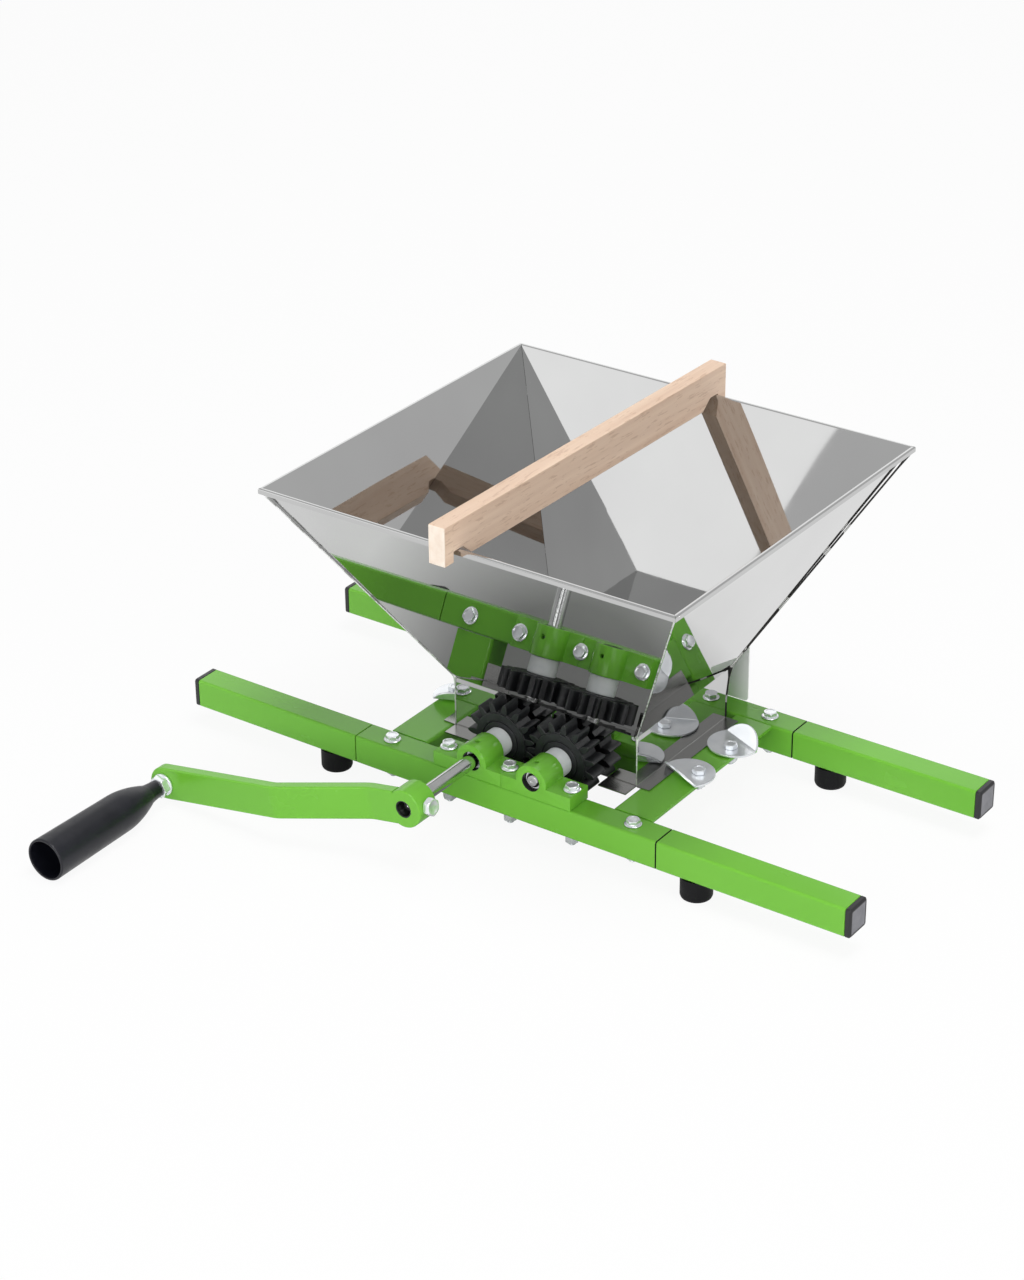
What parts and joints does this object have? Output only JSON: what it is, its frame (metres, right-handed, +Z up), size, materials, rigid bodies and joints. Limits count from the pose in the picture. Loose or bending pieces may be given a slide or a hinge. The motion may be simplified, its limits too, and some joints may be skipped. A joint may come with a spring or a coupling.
{
  "type": "apple scratter",
  "caption": "Hand-cranked fruit crusher: square steel hopper over geared rollers on a long green tube frame, with a joggled crank and a wooden bar.",
  "frame": {"origin": "on the ground, below the middle of the machine's overall length and depth, the crank included", "axes": "+X along the rails to the right, seen from the crank's side; +Y from the crank's side to the rear; +Z up"},
  "size_m": [0.6332, 0.57, 0.2971],
  "materials": {
    "green_paint": "glossy bright green enamel on steel",
    "polished_steel": "mirror-polished stainless sheet",
    "zinc": "bright zinc plating",
    "shaft_steel": "turned bright steel",
    "cast_aluminium": "satin cast aluminium",
    "black_plastic": "satin black",
    "white_nylon": "off-white nylon",
    "rubber": "matt black rubber",
    "beech": "bare planed beech"
  },
  "bodies": {
    "frame": {"front_rail": "green_paint", "rear_rail": "green_paint", "left_cross_member": "green_paint", "right_cross_member": "green_paint", "front_left_extension_rail": "green_paint", "front_left_end_cap": "black_plastic", "front_left_foot": "rubber", "front_left_frame_bolt": "zinc", "front_right_extension_rail": "green_paint", "front_right_end_cap": "black_plastic", "front_right_foot": "rubber", "front_right_frame_bolt": "zinc", "rear_left_extension_rail": "green_paint", "rear_left_end_cap": "black_plastic", "rear_left_foot": "rubber", "rear_left_frame_bolt": "zinc", "rear_right_extension_rail": "green_paint", "rear_right_end_cap": "black_plastic", "rear_right_foot": "rubber", "rear_right_frame_bolt": "zinc", "front_left_bearing_block": "green_paint", "front_left_bushing": "white_nylon", "front_right_bearing_block": "green_paint", "front_right_bushing": "white_nylon", "rear_left_bearing_block": "green_paint", "rear_left_bushing": "white_nylon", "rear_right_bearing_block": "green_paint", "rear_right_bushing": "white_nylon", "front_left_bearing_bolt": "zinc", "front_middle_bearing_bolt": "zinc", "front_right_bearing_bolt": "zinc", "rear_left_bearing_bolt": "zinc", "rear_middle_bearing_bolt": "zinc", "rear_right_bearing_bolt": "zinc", "hopper_front_panel": "polished_steel", "hopper_rear_panel": "polished_steel", "hopper_left_panel": "polished_steel", "hopper_right_panel": "polished_steel", "rear_guard_plate": "polished_steel", "left_deflector": "polished_steel", "right_deflector": "polished_steel", "front_left_clamp_bolt": "zinc", "front_right_clamp_bolt": "zinc", "rear_left_clamp_bolt": "zinc", "rear_right_clamp_bolt": "zinc"},
    "drive_line": {"drive_shaft": "shaft_steel", "drive_gear": "black_plastic", "drive_roller": "cast_aluminium", "crank_arm": "green_paint", "crank_set_bolt": "zinc", "handle_stud": "zinc"},
    "driven_line": {"driven_shaft": "shaft_steel", "driven_gear": "black_plastic", "driven_roller": "cast_aluminium"},
    "handle": {"handle_grip": "black_plastic"},
    "bar": {"wooden_bar": "beech"},
    "front_left_clamp_plate": {"front_left_clamp": "zinc"},
    "front_right_clamp_plate": {"front_right_clamp": "zinc"},
    "rear_left_clamp_plate": {"rear_left_clamp": "zinc"},
    "rear_right_clamp_plate": {"rear_right_clamp": "zinc"}
  },
  "joints": [
    {"name": "drive_spin", "type": "hinge", "parent": "frame", "child": "drive_line", "pos_m": [-0.0287, 0.0846, 0.058], "axis": [0, 1, 0], "continuous": true},
    {"name": "driven_spin", "type": "hinge", "parent": "frame", "child": "driven_line", "pos_m": [0.0287, 0.0846, 0.058], "axis": [0, 1, 0], "continuous": true},
    {"name": "grip_spin", "type": "hinge", "parent": "drive_line", "child": "handle", "pos_m": [-0.25315, -0.15399, 0.0179], "axis": [0, 1, 0], "continuous": true},
    {"name": "bar_lift", "type": "slide", "parent": "frame", "child": "bar", "axis": [0, 0, 1], "range_m": [0, 0.12]},
    {"name": "front_left_clamp_turn", "type": "hinge", "parent": "frame", "child": "front_left_clamp_plate", "pos_m": [-0.1195, 0.07261, 0.0451], "axis": [0, 0, 1], "range_deg": [-150, 0]},
    {"name": "front_right_clamp_turn", "type": "hinge", "parent": "frame", "child": "front_right_clamp_plate", "pos_m": [0.1195, 0.07261, 0.0451], "axis": [0, 0, 1], "range_deg": [0, 150]},
    {"name": "rear_left_clamp_turn", "type": "hinge", "parent": "frame", "child": "rear_left_clamp_plate", "pos_m": [-0.1195, 0.12061, 0.0451], "axis": [0, 0, 1], "range_deg": [0, 110]},
    {"name": "rear_right_clamp_turn", "type": "hinge", "parent": "frame", "child": "rear_right_clamp_plate", "pos_m": [0.1195, 0.12061, 0.0451], "axis": [0, 0, 1], "range_deg": [-110, 0]}
  ],
  "couplings": [
    {"joint": "driven_spin", "follows": "drive_spin", "ratio": -1}
  ]
}
